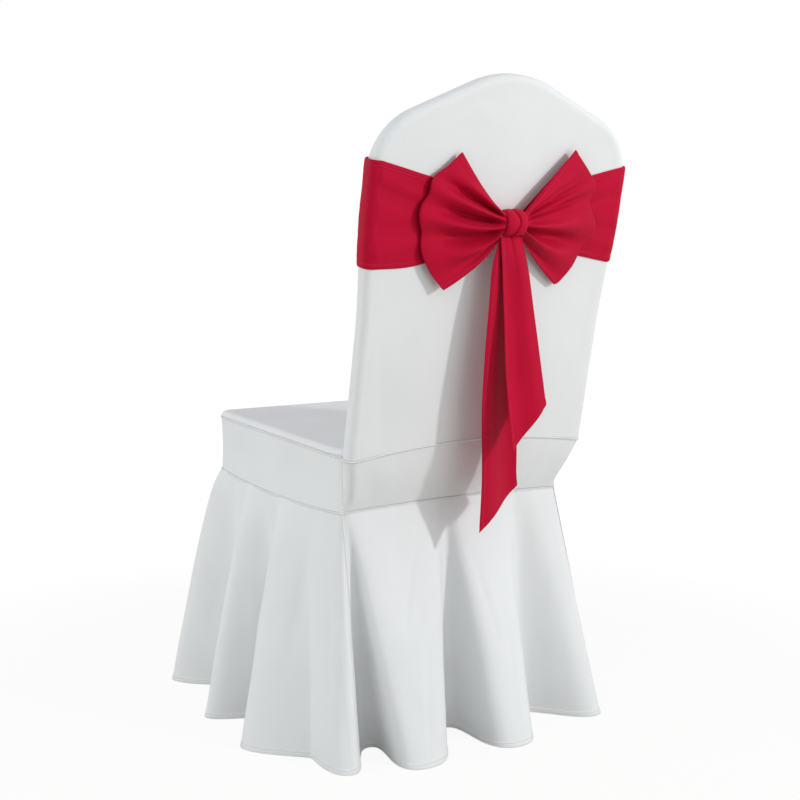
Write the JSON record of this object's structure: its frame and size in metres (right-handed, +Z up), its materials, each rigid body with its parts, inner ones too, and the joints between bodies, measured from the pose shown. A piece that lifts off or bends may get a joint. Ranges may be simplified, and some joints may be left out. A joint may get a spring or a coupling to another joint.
{
  "type": "chair cover with sash",
  "caption": "Fitted stretch chair cover with a flared skirt, and a sash tied round its back in a bow with hanging tails.",
  "frame": {"origin": "under the crown of the hood, where the top of the chair's back holds the cover up", "axes": "+Z up, +Y the way the rear of the chair's back and the bow face, +X to the sitter's left"},
  "size_m": [0.633, 0.7259, 1.0023],
  "materials": {
    "white_knit": "matte cool white stretch knit, fine and smooth",
    "crimson_knit": "crimson stretch knit with a soft low sheen"
  },
  "bodies": {
    "root": {"hood": "white_knit", "seat_panel": "white_knit", "apron_front": "white_knit", "apron_rear": "white_knit", "skirt_front": "white_knit", "skirt_rear": "white_knit", "sash_band": "crimson_knit", "bow_loop_left": "crimson_knit", "bow_loop_right": "crimson_knit", "bow_knot": "crimson_knit", "tail_front": "crimson_knit", "tail_rear": "crimson_knit"}
  },
  "joints": []
}
